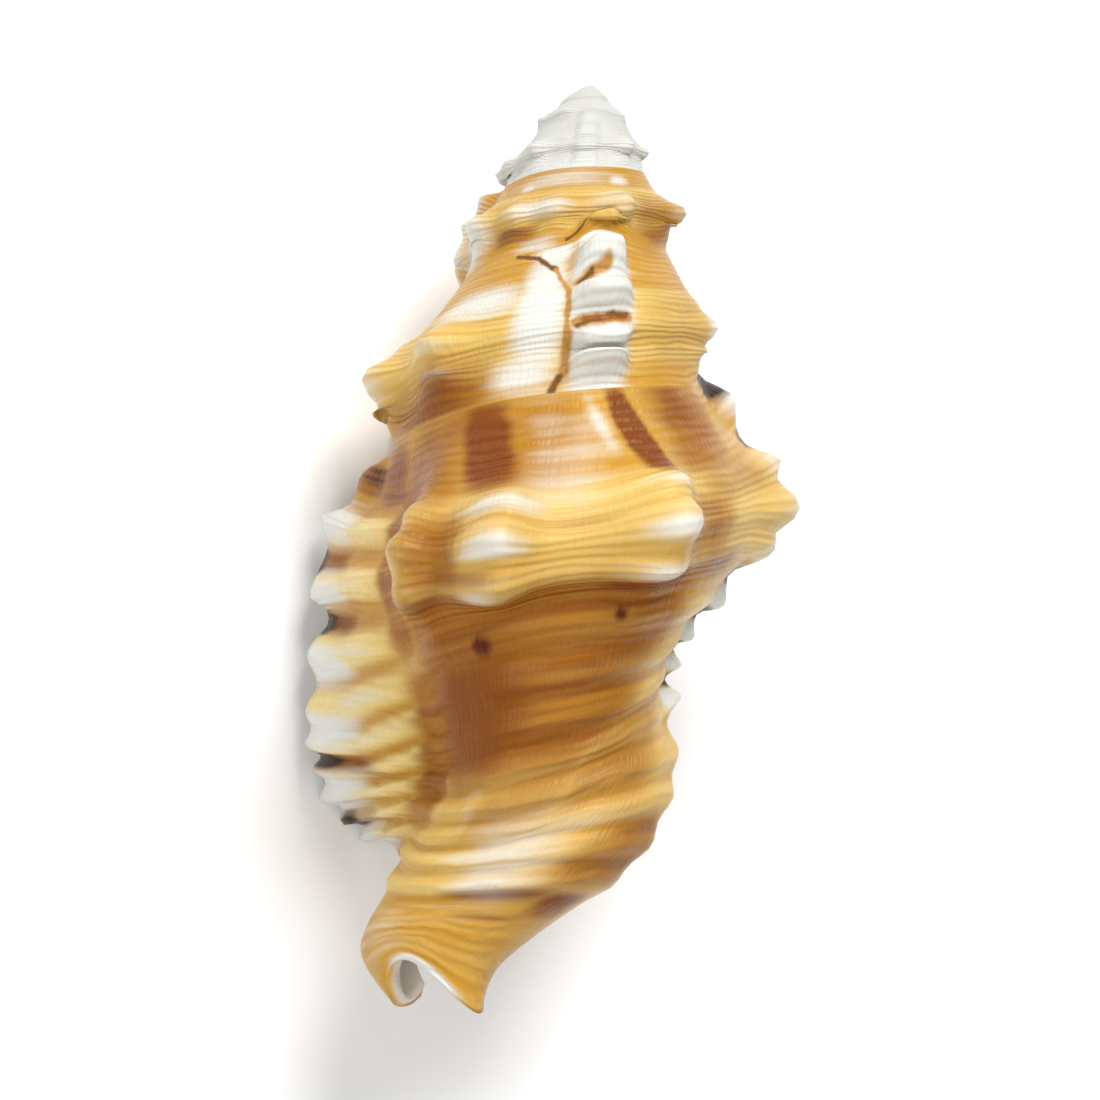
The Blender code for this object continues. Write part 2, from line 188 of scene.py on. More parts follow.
def controls(growth, v):
    """Radius and drop of the 12 control points: suture, three cords about the keel, then the table's rows."""
    g = growth / 360
    suture_r, suture_z = suture_line(growth)
    next_r, next_z = suture_line(growth + 360)
    size = SHOULDER_DROP * DROP_GROWTH**g
    keel_r = SHOULDER_RADIUS * RADIUS_GROWTH**g * taper(g, FIRST_SUTURE - 0.9)
    keel_r = keel_r - through(growth, (-100, -70, -45, -20, 0), (0, 3.0, 9.0, 7.6, 4.8))
    keel_z = size - APEX_DROP + through(growth, KEEL_KEYS, KEEL_DROPS)
    gap = CORD_SPACING * size * through(growth, (-376, -198, 0), (1.0, 0.75, 0.68))
    rows = np.zeros(growth.shape + (len(V_KNOTS), 2))
    rows[..., 0, :] = np.stack((suture_r, suture_z), -1)
    rows[..., 3, :] = np.stack((keel_r, keel_z), -1)
    rows[..., 2, :] = np.stack((keel_r * 0.94, keel_z - gap), -1)
    rows[..., 4, :] = np.stack((keel_r * 0.96, keel_z + gap), -1)
    rows[..., 1, :] = (rows[..., 0, :] + rows[..., 2, :]) / 2
    body = through(growth, BODY_KEYS, BODY_ROWS.reshape(len(BODY_KEYS), 14)).reshape(growth.shape + (7, 2))
    rows[..., 5:, :] = body
    low = np.stack((next_r, next_z), -1)
    rows[..., 5, :] = np.where((growth <= -360)[..., None], low, body[..., 0, :])
    # A spire whorl carries on straight under the next one, and only the last whorl has the table's base
    join = np.maximum(step(growth, -420, -360), np.asarray(v) > 5)[..., None]
    for k in range(6, 12):
        straight = rows[..., 5, :] + (rows[..., 5, :] - rows[..., 4, :]) * (k - 5)
        rows[..., k, :] = straight * (1 - join) + rows[..., k, :] * join
    # On the first whorls the rows share out the space between the two sutures evenly
    early = step(-g, 3.2, 5.0)[..., None]
    for k in (1, 2, 3, 4):
        even = rows[..., 0, :] + (low - rows[..., 0, :]) * (k / 5)
        even[..., 0] += 0.12 * even[..., 0] * math.sin(math.pi * k / 5)
        rows[..., k, :] = rows[..., k, :] * (1 - early) + even * early
    return rows


def canal_centre(z):
    """Where the canal's own middle lies, left and towards the back of the shell from the axis."""
    x = -through(z, (86, 100, 105, 110, 114, 117, 120), (0, 2.0, 4.2, 7.4, 9.2, 8.8, 7.4))
    y = -through(z, (92, 104, 112, 120), (0, 0.8, 2.5, 5.0))
    return x, y


print("profile rows:", len(V_KNOTS), "at", len(BODY_KEYS), "growth angles")

# %% [markdown]
# On that plain form sits the relief. Three spiral cords cross low folds at the shoulder, and where a fold
# meets a cord there is a tubercle. The base carries a row of ribs. Each varix is a raised band with a bead
# for every cord. On the back of the lip the ribs fan upwards, so they follow a slanted row number, called the
# rib line here.

# %% Folds, cords, beads and ribs
# What runs along the spiral: row number and half width in rows
CORDS = ((2.05, 0.3), (3.0, 0.33), (3.95, 0.3))
BASE_CORDS = (
    (5.3, 0.22), (5.95, 0.22), (6.6, 0.22), (7.2, 0.2), (7.78, 0.2), (8.3, 0.18), (8.8, 0.18), (9.25, 0.16),
)
BEADS = (
    (0.75, 0.5), (2.1, 0.34), (3.3, 0.25), (4.2, 0.36), (5.15, 0.24), (5.8, 0.24), (6.45, 0.24), (7.1, 0.22),
)
LIP_RIBS = (
    (2.2, 0.34), (3.45, 0.34), (4.75, 0.28), (5.5, 0.22), (6.1, 0.19), (6.7, 0.19), (7.3, 0.18), (7.85, 0.17),
    (8.4, 0.17),
)
LIP_KNOBS = ((1.0, 0.4), (2.15, 0.4), (3.6, 0.36), (5.25, 0.42), (6.6, 0.36), (7.8, 0.32), (8.75, 0.28))
# Heights in millimetres at the outer lip, where the shell is full size
TUBERCLE_RISE, CORD_RISE, CORD_RISE_ON_TUBERCLE = 4.4, 0.5, 2.5
RIB_RISE, LOW_RIB_EXTRA, LIP_RIB_EXTRA = 1.05, 0.4, 0.75
BAND_RISE, OLD_BAND_EXTRA, LIP_RISE, LIP_KNOB_RISE = 0.5, 1.3, 2.2, 0.9
BEAD_RISE, LOWER_BEADS_LESS, OLD_BEADS_LESS, BESIDE_TUBERCLE_LESS = 3.8, 1.6, 2.8, 1.3
BUTTRESS_RISE = 3.6


def fold(growth):
    """The axial folds that end in tubercles: a bell at each, as high as it is, steeper on its older side."""
    total = 0
    for centre, height, width in TUBERCLES:
        total = total + height * bump(growth, centre, np.where(growth < centre, 0.75, 1.15) * width)
    return total


def varix(growth):
    """The old lips: a flat-topped bell at each, as high as it is."""
    return sum(height * plateau(growth, centre, VARIX_HALF_WIDTH) for centre, height in VARICES)


def rib_line(growth, v):
    """The row number as the ribs feel it: near the lip a rib sits up to one row lower than on the body."""
    return v - 0.8 * step(growth, -52, -6) * bump(v, 6.9, 1.7)


def row_bells(v, rows, wider=1.0):
    """The sum of bells at the listed rows, each (row, half width), with the widths scaled."""
    return sum(bump(v, at, wider * width) for at, width in rows)


def ribs(growth, v):
    """Height of the ribs from 0 to 1: a bell on each rib line, and the lip's own ribs on its back."""
    line, lip_back = rib_line(growth, v), step(growth, -60, -36)
    return row_bells(line, BASE_CORDS) * (1 - lip_back) + lip_back * row_bells(line, LIP_RIBS)


def varix_relief(growth, v, tubercle):
    """The varices in millimetres: a band with beads on old lips and with knobs on the outer lip, lower where a
    tubercle already lifts it."""
    beads, knobs = row_bells(v, BEADS), row_bells(v, LIP_KNOBS)
    near_lip, old = step(growth, -60, -20), step(-growth, 560, 640)
    beside_tubercle = bump(growth, SIDE_LIP, 40) * step(4.8 - v, 0, 0.6)
    gain = BEAD_RISE - LOWER_BEADS_LESS * step(v, 4.4, 5.0) - OLD_BEADS_LESS * old
    gain = gain - BESIDE_TUBERCLE_LESS * beside_tubercle
    old_lip = BAND_RISE + OLD_BAND_EXTRA * old + gain * beads
    proud = old_lip * (1 - near_lip) + (LIP_RISE + LIP_KNOB_RISE * knobs) * near_lip
    proud = (proud + beads * bump(growth, FRONT_LIP, 30)) * (1 - 0.4 * np.minimum(tubercle, 1))
    return varix(growth) * proud * step(v, -0.5, 1.0) * step(9.6 - v, 0, 1.5)


def relief(growth, v):
    """Height over the plain whorl in millimetres: folds, cords, ribs and varices, scaled as the whorl grows."""
    g = growth / 360
    scale = RADIUS_GROWTH**g * taper(g, FIRST_SUTURE)
    in_spire = growth <= -360
    edge = np.where(in_spire, step(v, 0, 0.7) * step(5 - v, 0, 0.5), step(v, 0, 0.7))
    folds = fold(growth)
    upper = through(growth, (-400, -300), (0.65, 1.4))
    lower = through(growth, (-400, -300), (2.1, 1.5))
    hill = bump(v, 3.0, np.where(v < 3, upper, lower))
    height = TUBERCLE_RISE * folds * hill
    height = height + row_bells(v, CORDS) * (CORD_RISE + CORD_RISE_ON_TUBERCLE * folds * hill)
    rib_height = RIB_RISE + LOW_RIB_EXTRA * step(v, 7, 8) + LIP_RIB_EXTRA * step(growth, -56, -34)
    height = height + rib_height * ribs(growth, v)
    height = height + varix_relief(growth, v, folds * hill)
    # One turn before each varix the whorl bulges just above the suture, where the varix will climb onto it
    buttress = sum(rise * plateau(growth, centre - 360, 10.0) for centre, rise in VARICES[1:])
    height = height + BUTTRESS_RISE * buttress * step(v, 3.3, 4.0)
    fade = 1 - 0.9 * step(v, 9.1, 9.9)
    return height * scale * edge * fade * (0.35 + 0.65 * step(g, -5.2, -3.6))


def whorl_point(growth, v, depth=0.0, with_relief=1.0):
    """Points (x right, y away from the back, z down the axis): the profile, moved out along its own normal by
    the relief less the depth, then turned about the axis by the growth angle."""
    growth, v = np.broadcast_arrays(np.asarray(growth, float), np.asarray(v, float))
    rows = controls(growth, v)
    weights = through(v, V_KNOTS, np.eye(len(V_KNOTS)))
    after = through(np.minimum(v + 0.02, CANAL_TIP), V_KNOTS, np.eye(len(V_KNOTS)))
    before = through(np.maximum(v - 0.02, 0), V_KNOTS, np.eye(len(V_KNOTS)))
    place = np.einsum("...k,...kc->...c", weights, rows)
    along = np.einsum("...k,...kc->...c", after - before, rows)
    along = along / np.maximum(np.linalg.norm(along, axis=-1, keepdims=True), 1e-6)
    outward = np.stack((along[..., 1], -along[..., 0]), -1)
    place = place + outward * (relief(growth, v) * with_relief - depth)[..., None]
    r, z = place[..., 0], place[..., 1]
    azimuth = np.radians(LIP_AZIMUTH + (CANAL_LIP_AZIMUTH - LIP_AZIMUTH) * step(v, 6.5, 10.5) + growth)
    shift_x, shift_y = canal_centre(z)
    bend = step(v, 5, 9)
    return np.stack((shift_x * bend - r * np.sin(azimuth), shift_y * bend - r * np.cos(azimuth), z), -1)


keel_point = whorl_point(np.array([-198.0]), np.array([3.0]))[0]
print("widest tubercle, millimetres from the axis:", round(float(np.hypot(keel_point[0], keel_point[1])), 1))

# %% [markdown]
# The mesh is stitched from a few grids that share their border points: one long ribbon for the whorls, whose
# lower border is the next whorl's suture, one grid for the base and canal, and one for the hollow that goes
# in along the outer wall and comes back along the columella. Corners keep their own growth angle and row
# number, because the colours are painted in those two numbers and must not smear across the suture.

# %% Grids and seams
WALL = 2.2
GLAZE = 0.3
FIRST_INNER_ROW = 0.45
TEETH_RISE, TEETH_GROWTH, TEETH_WIDTH = 1.5, -11, 7
COLUMNS = 300
WHORL_ROWS = np.arange(28) / 28 * 5
BASE_ROWS = np.linspace(5, CANAL_TIP, 70)
HOLLOW_STEPS, BLIND_STEPS = 44, 8


class Corners:
    """Collects points and the corners that use them. A corner is a point with a growth angle, a row and a flag
    from 0 outside to 1 inside."""

    def __init__(self):
        self.points, self.marks, self.owners, self.total, self.count = [], [], [], 0, 0

    def note(self, owners, growth, v, inside):
        """Adds one corner for each owner point and returns the corners' numbers."""
        owners, growth, v, inside = np.broadcast_arrays(owners, growth, v, inside)
        self.owners.append(owners.ravel())
        self.marks.append(np.stack((growth.ravel(), v.ravel(), inside.ravel()), -1).astype(float))
        numbers = np.arange(self.count, self.count + owners.size).reshape(owners.shape)
        self.count += owners.size
        return numbers

    def add(self, points, growth, v, inside=0.0):
        """Adds points with one corner each and returns the corners' numbers."""
        owners = np.arange(self.total, self.total + points[..., 0].size).reshape(points.shape[:-1])
        self.points.append(points.reshape(-1, 3))
        self.total += owners.size
        return self.note(owners, growth, v, inside)


def quads(block):
    """Faces between the neighbours of a grid of corner numbers, two triangles each."""
    a, b, c, d = block[:-1, :-1], block[1:, :-1], block[1:, 1:], block[:-1, 1:]
    return np.concatenate((np.stack((a, b, c), -1).reshape(-1, 3), np.stack((a, c, d), -1).reshape(-1, 3)))


def stitch(first, second):
    """Triangles between two lines of corner numbers that run the same way, taking a step on whichever lags."""
    first, second = np.asarray(first), np.asarray(second)
    at = np.concatenate((np.linspace(0, 1, len(first))[1:], np.linspace(0, 1, len(second))[1:]))
    is_first = np.concatenate((np.ones(len(first) - 1, bool), np.zeros(len(second) - 1, bool)))
    is_first = is_first[np.argsort(at + 1e-9 * is_first, kind="stable")]
    i, j = np.cumsum(is_first) - is_first, np.cumsum(~is_first) - ~is_first
    next_first, next_second = np.minimum(i + 1, len(first) - 1), np.minimum(j + 1, len(second) - 1)
    third = np.where(is_first, first[next_first], second[next_second])
    return np.stack((first[i], second[j], third), -1)


def hollow_grid(lip_v):
    """Points, growth angles and rows of the mouth's inside, in lines from the lip inwards and back out. The
    outer side is the whorl less the wall's thickness, and the way back is the older whorl plus a thin glaze."""
    reach = through(lip_v, (0, 5.5, 6.5, 7.5, 8.5, 11), (200, 200, 180, 170, 170, 190))
    inward = np.concatenate(([0.003, 0.008, 0.016, 0.03], np.linspace(0.045, 1, HOLLOW_STEPS - 4)))
    theta = -reach[None, :] * inward[:, None]
    wall = WALL * (1 + 0.5 * step(theta, -40, 0)) * np.sqrt(1 - (1 - np.clip(-theta / 5, 0, 1)) ** 2)
    inner_v = FIRST_INNER_ROW + (CANAL_TIP - FIRST_INNER_ROW) * lip_v / CANAL_TIP
    inner_v = np.broadcast_to(inner_v, theta.shape)
    teeth = sum(bump(inner_v, at, 0.3) for at, _ in LIP_KNOBS[1:]) * bump(theta, TEETH_GROWTH, TEETH_WIDTH)
    teeth = teeth * TEETH_RISE
    outer_side = whorl_point(theta, inner_v, wall + teeth * step(-theta, 0, 6), step(theta, -12, 0) * 0.9)
    columella_v = through(lip_v, (0, 2, 4, 6, 8, 10, 11), (5.2, 5.8, 6.6, 7.7, 8.8, 10.1, 11))
    columella_v = np.broadcast_to(columella_v, theta.shape)
    inner_side = whorl_point(theta[::-1] - 360, columella_v, -GLAZE, 0.0)
    share = np.arange(1, BLIND_STEPS)[:, None, None] / BLIND_STEPS
    blind_end = outer_side[-1] * (1 - share) + inner_side[0] * share
    blind_growth = np.broadcast_to(theta[-1], (BLIND_STEPS - 1,) + theta[-1].shape)
    points = np.concatenate((outer_side, blind_end, inner_side))
    growth = np.concatenate((theta, blind_growth, theta[::-1] - 360))
    v = np.concatenate((inner_v, np.broadcast_to(inner_v[0], blind_growth.shape), columella_v))
    return points, growth, v


def shell_surface():
    """Points, and for each triangle its corners' points and marks (growth angle, row, inside)."""
    corners = Corners()
    count = int(round((1 - FIRST_SUTURE) * COLUMNS))
    growth = -360.0 * (count - np.arange(count + 1)) / COLUMNS
    angle, rows = growth[:, None], WHORL_ROWS[None, :]
    ribbon = corners.add(whorl_point(angle, rows), angle, rows)
    owner = ribbon.copy()
    owner[: COLUMNS + 1, 0] = owner[0, 0]
    owner[0, :] = owner[0, 0]
    corners.owners[0] = owner.ravel()
    last = growth[count - COLUMNS + 1 :]
    angle, rows = last[:, None], BASE_ROWS[None, :]
    base = corners.add(whorl_point(angle, rows), angle, rows)
    start = corners.add(whorl_point(np.full((1, 1), -360.0), rows[:, 1:]), -360.0, rows[:, 1:])
    start = np.concatenate((corners.note(owner[count, :1], -360.0, 5.0, 0.0), start[0]))
    base_grid = np.concatenate((start[None], base))
    under = np.concatenate((owner[COLUMNS:, 0], corners.owners[1].reshape(base.shape)[:, 0]))
    lower = corners.note(under, growth, 5.0, 0.0)
    ribbon_grid = np.concatenate((ribbon, lower[:, None]), 1)

    lip_v = np.concatenate((WHORL_ROWS, BASE_ROWS))
    points, hollow_growth, hollow_v = hollow_grid(lip_v)
    half = HOLLOW_STEPS
    depth = np.ones(hollow_growth.shape)
    depth[:3] = np.array((0.3, 0.6, 0.85))[:, None]
    hollow = corners.add(points, hollow_growth, hollow_v, depth)
    lip = np.concatenate((ribbon[count], base_grid[COLUMNS]))
    hollow = np.concatenate((lip[None], hollow))
    faces = [
        quads(ribbon_grid)[:, ::-1],
        quads(base_grid)[:, ::-1],
        quads(hollow)[:, ::-1],
        stitch(start, hollow[-1]),
        stitch(base_grid[::-1, -1], hollow[:, -1])[:, ::-1],
    ]
    roof_far = hollow[::-1][: len(hollow) // 2 + 1, 0]
    roof_near = hollow[: len(hollow) - len(roof_far) + 1, 0]
    faces.append(stitch(roof_near, roof_far)[:, ::-1])
    faces = np.concatenate(faces)[:, ::-1]
    marks, owners = np.concatenate(corners.marks)[faces], np.concatenate(corners.owners)[faces]
    whole = (owners[:, 0] != owners[:, 1]) & (owners[:, 1] != owners[:, 2]) & (owners[:, 0] != owners[:, 2])
    used, owners = np.unique(owners[whole], return_inverse=True)
    return np.concatenate(corners.points)[used], owners.reshape(-1, 3), marks[whole]


shell_points, shell_faces, shell_marks = shell_surface()
print("points", len(shell_points), "triangles", len(shell_faces))

# %% [markdown]
# The shell in the photo lies loose, so it is turned to rest on three tips of its mouth side, spire towards
# +Y. Where the tips would dip under the floor they are pressed flat, as wear does. The same turn is kept as a
# matrix, because the camera was placed in the shell's own growth frame and has to be brought along.

# %% Lying on the floor
MM = 0.001
LIE_ROLL, LIE_PITCH = -24.307, 1.123
WORN = 0.4
AXES = Matrix(((1, 0, 0, 0), (0, 0, -1, 0), (0, -1, 0, 0), (0, 0, 0, 1)))


def moved(points, matrix):
    """The points carried by a 4 by 4 matrix: each with a 1 added, times the transposed matrix."""
    return (np.c_[points, np.ones(len(points))] @ np.array(matrix).T)[:, :3]


def lie_matrix(points):
    """Growth frame in millimetres to floor frame in metres: roll, pitch, then over the CAD box's middle."""
    roll = Matrix.Rotation(math.radians(LIE_ROLL), 4, "Y")
    pitch = Matrix.Rotation(math.radians(LIE_PITCH), 4, "X")
    turned = moved(points, pitch @ roll @ AXES)
    low, high = turned.min(0), turned.max(0)
    cad_middle = (Vector(CAD_BOX[0]) + Vector(CAD_BOX[1])) / 2
    middle = (low + high) / 2
    away = Vector((cad_middle.x / MM - middle[0], cad_middle.y / MM - middle[1], -(low[2] + WORN)))
    return Matrix.Scale(MM, 4) @ Matrix.Translation(away) @ pitch @ roll


LIE = lie_matrix(shell_points)
floor_points = moved(shell_points, LIE @ AXES)
floor_points[:, 2] = np.maximum(floor_points[:, 2], 0)
print("lying size in millimetres:", (1000 * np.ptp(floor_points, axis=0)).round(1))

# %% [markdown]
# Colour follows growth too: the animal lays pigment at its lip, so every band runs along the spiral and every
# mark is a place in growth angle and row. Broad fields are painted onto the corners as named masks, each the
# sum of soft patches; some patches are painted shade under the shoulder and beside the tubercles, and some a
# painted highlight above the shoulder, placed the same way. A patch is a rounded rectangle in those two
# numbers, leaning if its centre drifts with the row.

# %% Soft patches
def patch(growth, v, at, half, lean=0.0, hardness=2.6):
    """A soft patch: e to minus the distances in growth and row, each over its half size, to an even power."""
    across = (growth - at[0] - lean * (v - at[1])) / half[0]
    down = (v - at[1]) / half[1]
    return np.exp(-np.abs(across) ** hardness - np.abs(down) ** hardness)


def painted(growth, v, patches, hardness=2.6):
    """The strongest of a list of patches at each corner, each (strength, at, half, lean)."""
    total = np.zeros(growth.shape)
    for strength, at, half, lean in patches:
        total = np.maximum(total, strength * patch(growth, v, at, half, lean, hardness))
    return total


# Each patch: strength, its middle as growth angle and row, its half size in degrees and rows, and its lean in
# degrees a row
# The white patches are the shell's own white, and the pale streaks above the shoulder are a painted highlight
WHITE_AND_HIGHLIGHT_PATCHES = (
    # The white front lip and the pale area beside it
    (1.3, (-481, 2.3), (13, 3.4), 0), (0.85, (-456, 2.4), (12, 2.6), 0), (0.75, (-430, 1.8), (24, 0.75), 0),
    (0.7, (-452, 4.3), (14, 0.6), 0), (0.8, (-458, 0.3), (12, 0.5), 0),
    # The golden whorl above it
    (1.0, (-752, 3.6), (20, 1.3), 0), (0.8, (-722, 3.0), (12, 2.2), 0), (0.6, (-791, 1.3), (7, 0.35), 0),
    (0.7, (-856, 1.15), (10, 0.5), 0), (0.6, (-805, 2.9), (22, 0.6), 0), (0.45, (-850, 2.8), (22, 0.8), 0),
    (0.5, (-820, 0.9), (44, 0.8), 0), (0.55, (-806, 4.75), (14, 0.32), 0),
    # Knobs of the shoulder, tubercle by tubercle
    (0.6, (-96, 2.2), (12, 0.2), 0), (0.8, (-96, 3.15), (9, 0.17), 0), (0.55, (-93, 4.0), (7, 0.14), 0),
    (0.65, (-139, 2.15), (5, 0.16), 0), (0.8, (-137, 3.05), (9, 0.18), 0), (0.7, (-137, 3.85), (8, 0.12), 0),
    (0.55, (-199, 2.05), (7, 0.2), 0), (0.7, (-199, 3.0), (4, 0.2), 0), (0.55, (-199, 3.95), (7, 0.2), 0),
    (0.5, (-376, 3.2), (8, 0.5), 0), (0.6, (-548, 3.0), (8, 0.35), 0),
    # Pale streaks between the two brown patches: cream streaks, lightened further as a painted highlight
    (0.36, (-112, 1.4), (15, 0.9), 0), (0.3, (-106, 1.0), (8, 1.0), -5), (0.5, (-122, 0.7), (3, 0.7), -8),
    # Pale ribs low on the base, and the canal with its white rim
    (0.55, (-130, 8.75), (34, 0.14), 0), (0.5, (-135, 9.2), (26, 0.12), 0), (0.35, (-150, 8.35), (34, 0.2), 0),
    (0.22, (-94, 7.9), (6, 0.7), -6), (0.42, (-134, 8.75), (26, 0.95), -16), (0.3, (-135, 9.6), (34, 0.1), 0),
    (0.3, (-75, 10.2), (40, 0.7), 0), (1.2, (-138, 11), (34, 0.2), 0),
)
# The brown patches hold the shell's own brown and also painted shade below and beside the knobs
BROWN_AND_SHADE_PATCHES = (
    # The two leaning patches above the shoulder, and the shade beside them
    (1.15, (-86, 0.85), (9, 0.85), -7), (1.3, (-133, 0.9), (4.8, 0.95), -6.5),
    (0.5, (-150, 0.4), (16, 0.6), -4), (0.5, (-60, 1.2), (17, 1.0), 0),
    # Between and below the shoulder's knobs: painted shade over the shell's own brown
    (0.7, (-165, 4.4), (16, 0.5), 0), (0.45, (-115, 2.6), (12, 0.12), 0), (0.45, (-82, 2.75), (9, 0.2), 0),
    (0.5, (-84, 3.62), (16, 0.2), 0), (0.5, (-70, 2.8), (7, 0.5), 0), (0.5, (-153, 3.0), (8, 0.9), 0),
    (0.9, (-138, 4.5), (16, 0.32), 0), (0.6, (-75, 4.1), (14, 0.45), 0), (0.62, (-84, 6.4), (26, 1.1), 0),
    # Grooves of the base and the canal
    (0.5, (-190, 8.62), (30, 0.09), 0), (0.5, (-190, 9.03), (30, 0.09), 0), (0.8, (-150, 9.42), (34, 0.12), 0),
    (0.4, (-130, 9.0), (20, 0.07), 0), (0.55, (-160, 9.78), (30, 0.08), 0),
    (0.8, (-194, 9.55), (20, 0.22), -10), (0.7, (-22, 10.85), (20, 0.2), 0),
    # The top of the lip, and the shade about its dark spots
    (0.8, (-33, 0.9), (13, 0.9), -3), (0.75, (-14, 0.95), (12, 0.4), 0), (0.7, (-8, 2.95), (11, 0.26), 0),
    (0.7, (-9, 4.42), (12, 0.28), 0), (0.8, (-12, 7.25), (16, 0.22), 0), (0.7, (-12, 8.25), (14, 0.2), 0),
    (0.5, (-30, 9.15), (16, 0.16), 0),
    # The spire
    (0.55, (-410, 4.65), (32, 0.6), 0), (0.7, (-790, 4.15), (16, 0.55), 0), (0.6, (-895, 4.6), (20, 0.6), 0),
    (0.35, (-525, 0.2), (26, 0.5), 0), (0.2, (-525, 4.2), (16, 0.6), 0),
)
# The amber patches hold the shell's orange brown and also painted shade under and beside the shoulder
AMBER_AND_SHADE_PATCHES = (
    # The base under the shoulder, down to the lip's back: orange brown deepened as painted shade under the
    # shoulder
    (1.1, (-97, 5.7), (42, 1.75), 0), (1.0, (-130, 5.1), (30, 1.0), 0), (0.85, (-122, 6.5), (34, 0.8), 0),
    (0.5, (-118, 7.6), (26, 0.9), 0), (0.6, (-158, 7.4), (26, 0.9), 0), (0.95, (-55, 6.7), (15, 1.5), 0),
    (0.9, (-50, 3.2), (9, 2.2), 0),
    # Above and on the shoulder: partly orange brown, partly painted shade beside the tubercles and between them
    (0.7, (-162, 0.9), (18, 1.0), 0), (0.7, (-80, 3.0), (8, 1.0), 0), (0.5, (-170, 2.0), (22, 0.5), 0),
    (0.7, (-62, 1.0), (20, 1.2), 0), (0.5, (-95, 0.8), (22, 0.9), 0), (0.6, (-155, 3.2), (12, 1.2), 0),
    # The spire, the mouth side and the canal
    (0.6, (-410, 4.3), (36, 0.9), 0), (0.25, (-520, 3.0), (24, 2.0), 0), (0.5, (-590, 2.5), (24, 2.0), 0),
    (0.5, (-670, 2.5), (24, 2.0), 0), (0.6, (-890, 3.6), (26, 1.4), 0), (0.5, (-300, 5.5), (40, 1.4), 0),
    (0.6, (-190, 8.9), (28, 0.5), 0), (0.1, (-60, 10.6), (50, 0.5), 0),
)
DARK_PATCHES = (
    # Between the outer lip's knobs
    (0.95, (-2, 2.95), (6, 0.22), 0), (1.0, (-3, 4.4), (7, 0.3), 0), (0.85, (-4, 7.2), (8, 0.2), 0),
    (0.75, (-7, 8.3), (5, 0.2), 0), (0.7, (-24, 9.15), (8, 0.2), 0), (0.42, (-14, 0.9), (10, 0.35), 0),
    # Between the beads of the side lip
    (1.0, (-211, 0.2), (19, 0.5), 0), (0.95, (-209, 1.5), (13, 0.22), 0), (0.95, (-210, 2.75), (11, 0.2), 0),
    (1.0, (-209, 4.75), (15, 0.2), 0), (1.0, (-209, 5.48), (15, 0.15), 0), (1.0, (-209, 6.13), (15, 0.15), 0),
    (1.0, (-209, 6.78), (15, 0.15), 0),
)
BEAD_PATCHES = tuple((1.0, (-208 if at > 4.5 else -214, at), (15, 0.9 * width), 0) for at, width in BEADS)
print("patches:", sum(map(len, (WHITE_AND_HIGHLIGHT_PATCHES, BROWN_AND_SHADE_PATCHES, AMBER_AND_SHADE_PATCHES, DARK_PATCHES, BEAD_PATCHES))))

# %% Masks on every corner
def corner_masks(marks):
    """The named masks at each corner, from 0 to 1, from its growth angle, row and inside flag."""
    growth, v, inside = marks[..., 0].ravel(), marks[..., 1].ravel(), marks[..., 2].ravel()
    outside = 1 - inside
    spire_age = step(-growth, 930, 1060)
    cords = row_bells(v, CORDS, 1.2) * step(v, 1.2, 1.8)
    rib = np.where((v > 4.6) | (growth > -48), ribs(growth, v), cords)
    crest = np.clip(fold(growth), 0, 1) * row_bells(v, CORDS)
    lip_back = step(growth, -58, -30)
    knobs = row_bells(v, LIP_KNOBS, 1.1)
    lip_white = np.clip(0.1 + 0.95 * knobs, 0, 1) * step(growth, -26, -4) * step(v, 1.2, 1.7)
    rib_white = 0.38 * step(growth, -50, -22) * ribs(growth, v) * step(v, 1.6, 2.0)
    old = sum(plateau(growth, centre, 10.0) for centre, _ in VARICES[3:])
    white = painted(growth, v, WHITE_AND_HIGHLIGHT_PATCHES + BEAD_PATCHES)
    white = np.maximum.reduce((white, lip_white, rib_white, 0.6 * old, 0.35 * crest))
    # The brown and amber masks carry painted shade as well as the shell's browns, and the white mask a painted
    # highlight
    return {
        "white": white * outside,
        "brown": painted(growth, v, BROWN_AND_SHADE_PATCHES, 3.4) * outside,
        "amber": painted(growth, v, AMBER_AND_SHADE_PATCHES, 4) * outside,
        "dark": painted(growth, v, DARK_PATCHES) * outside,
        "rib": step(rib, 0.1, 0.7),
        "lip_back": lip_back * outside,
        "old_age": spire_age * outside,
        "inside": inside,
    }


masks = corner_masks(shell_marks)
print({name: round(float(values.mean()), 3) for name, values in masks.items()})

# %% The shell object
def shell_object(points, faces, marks, masks):
    """One smooth mesh with a UV map (turns, row / 11) and a float attribute for each mask."""
    mesh = bpy.data.meshes.new("conch_shell_skin")
    mesh.from_pydata(points.tolist(), [], faces.tolist())
    uv = np.stack((marks[..., 0] / 360, marks[..., 1] / CANAL_TIP), -1)
    mesh.uv_layers.new(name="growth_map").uv.foreach_set("vector", uv.ravel())
    for name, values in masks.items():
        mesh.attributes.new(name, "FLOAT", "CORNER").data.foreach_set("value", values.astype(np.float32))
    mesh.shade_smooth()
    mesh.update()
    skin = bpy.data.objects.new("conch_shell_skin", mesh)
    bpy.context.scene.collection.objects.link(skin)
    return skin


shell = shell_object(floor_points, shell_faces, shell_marks, masks)
print("made", shell.name, "with", len(shell.data.polygons), "faces")

# %% [markdown]
# The shader reads the growth map. Three small node groups give what repeats: fine spiral threads, growth
# lines across them, and a hand-drawn stroke. They put out only masks and heights, and the glossy surface
# itself stays in the material, so the same groups could serve any other shell.

